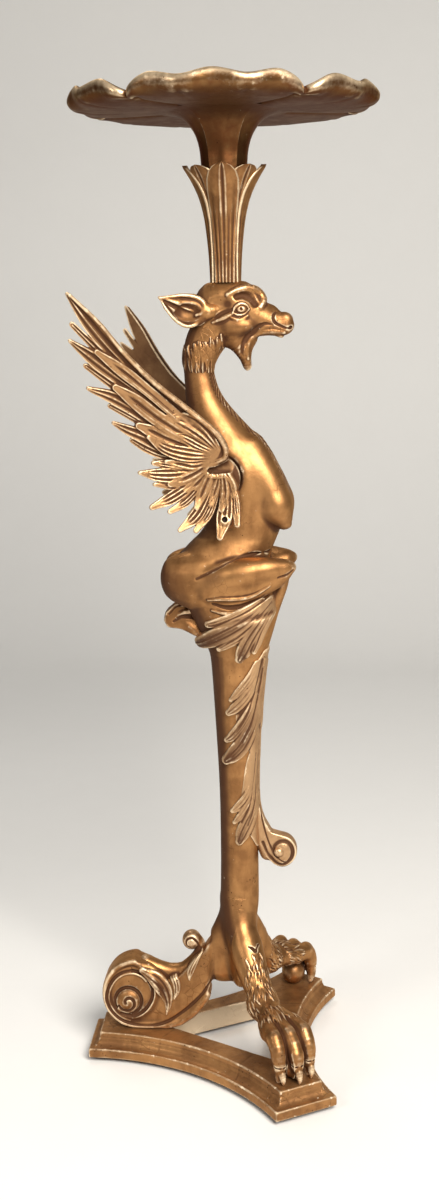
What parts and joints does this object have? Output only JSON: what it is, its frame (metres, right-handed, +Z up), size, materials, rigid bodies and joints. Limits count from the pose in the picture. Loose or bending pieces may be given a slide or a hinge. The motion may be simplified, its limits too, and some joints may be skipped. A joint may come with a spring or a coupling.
{
  "type": "vase stand",
  "caption": "Tall carved and gilded stand: a winged beast on a tapered shaft with lion-paw and scroll feet on a hollow-sided plinth carries a petalled dish for a vase.",
  "frame": {"origin": "on the floor under the axis that the dish and the plinth share", "axes": "+Z up, +X to the beast's front, +Y to the beast's left"},
  "size_m": [0.3898, 0.3828, 1.2],
  "materials": {
    "gilt_dish": "bronze-gold gilding over carved wood, satin, worn pale at the petal tips",
    "gilt_leaves": "bronze-gold gilding over carved wood, satin, pale on the leaf edges and brown in the hollows",
    "gilt_beast": "bronze-gold gilding over carved wood, satin, rubbed and crackled",
    "gilt_wings": "bronze-gold gilding over carved wood, satin, cream on the feather ribs and brown between them",
    "gilt_legs": "bronze-gold gilding over carved wood, satin, chipped on the toes",
    "gilt_plinth": "bronze-gold gilding over moulded wood, worn to cream along the edges",
    "bare_wood": "plain unpolished joinery wood",
    "steel": "dull steel screws",
    "pads": "dark stained discs"
  },
  "bodies": {
    "root": {"dish": "gilt_dish", "dish_neck": "gilt_dish", "leaf_capital": "gilt_leaves", "capital_dowel": "bare_wood", "head": "gilt_beast", "left_ear": "gilt_beast", "right_ear": "gilt_beast", "neck_dowel": "bare_wood", "torso": "gilt_beast", "left_wing": "gilt_wings", "right_wing": "gilt_wings", "wing_dowels": "bare_wood", "wing_screws": "steel", "waist_dowel": "bare_wood", "haunches": "gilt_beast", "left_skirt_leaf": "gilt_leaves", "right_skirt_leaf": "gilt_leaves", "tail_leaf": "gilt_leaves", "haunch_dowel": "bare_wood", "shaft": "gilt_beast", "drop_leaf": "gilt_leaves", "front_volute": "gilt_leaves", "shaft_dowel": "bare_wood", "leg_hub": "gilt_beast", "scroll_leg": "gilt_legs", "scroll_leaf": "gilt_leaves", "left_paw_leg": "gilt_legs", "right_paw_leg": "gilt_legs", "leg_dowels": "bare_wood", "rear_corner": "gilt_plinth", "left_corner": "gilt_plinth", "right_corner": "gilt_plinth", "front_rail": "gilt_plinth", "left_rail": "gilt_plinth", "right_rail": "gilt_plinth", "rail_tenons": "bare_wood", "foot_screws": "steel", "rear_pad": "pads", "left_pad": "pads", "right_pad": "pads"}
  },
  "joints": []
}
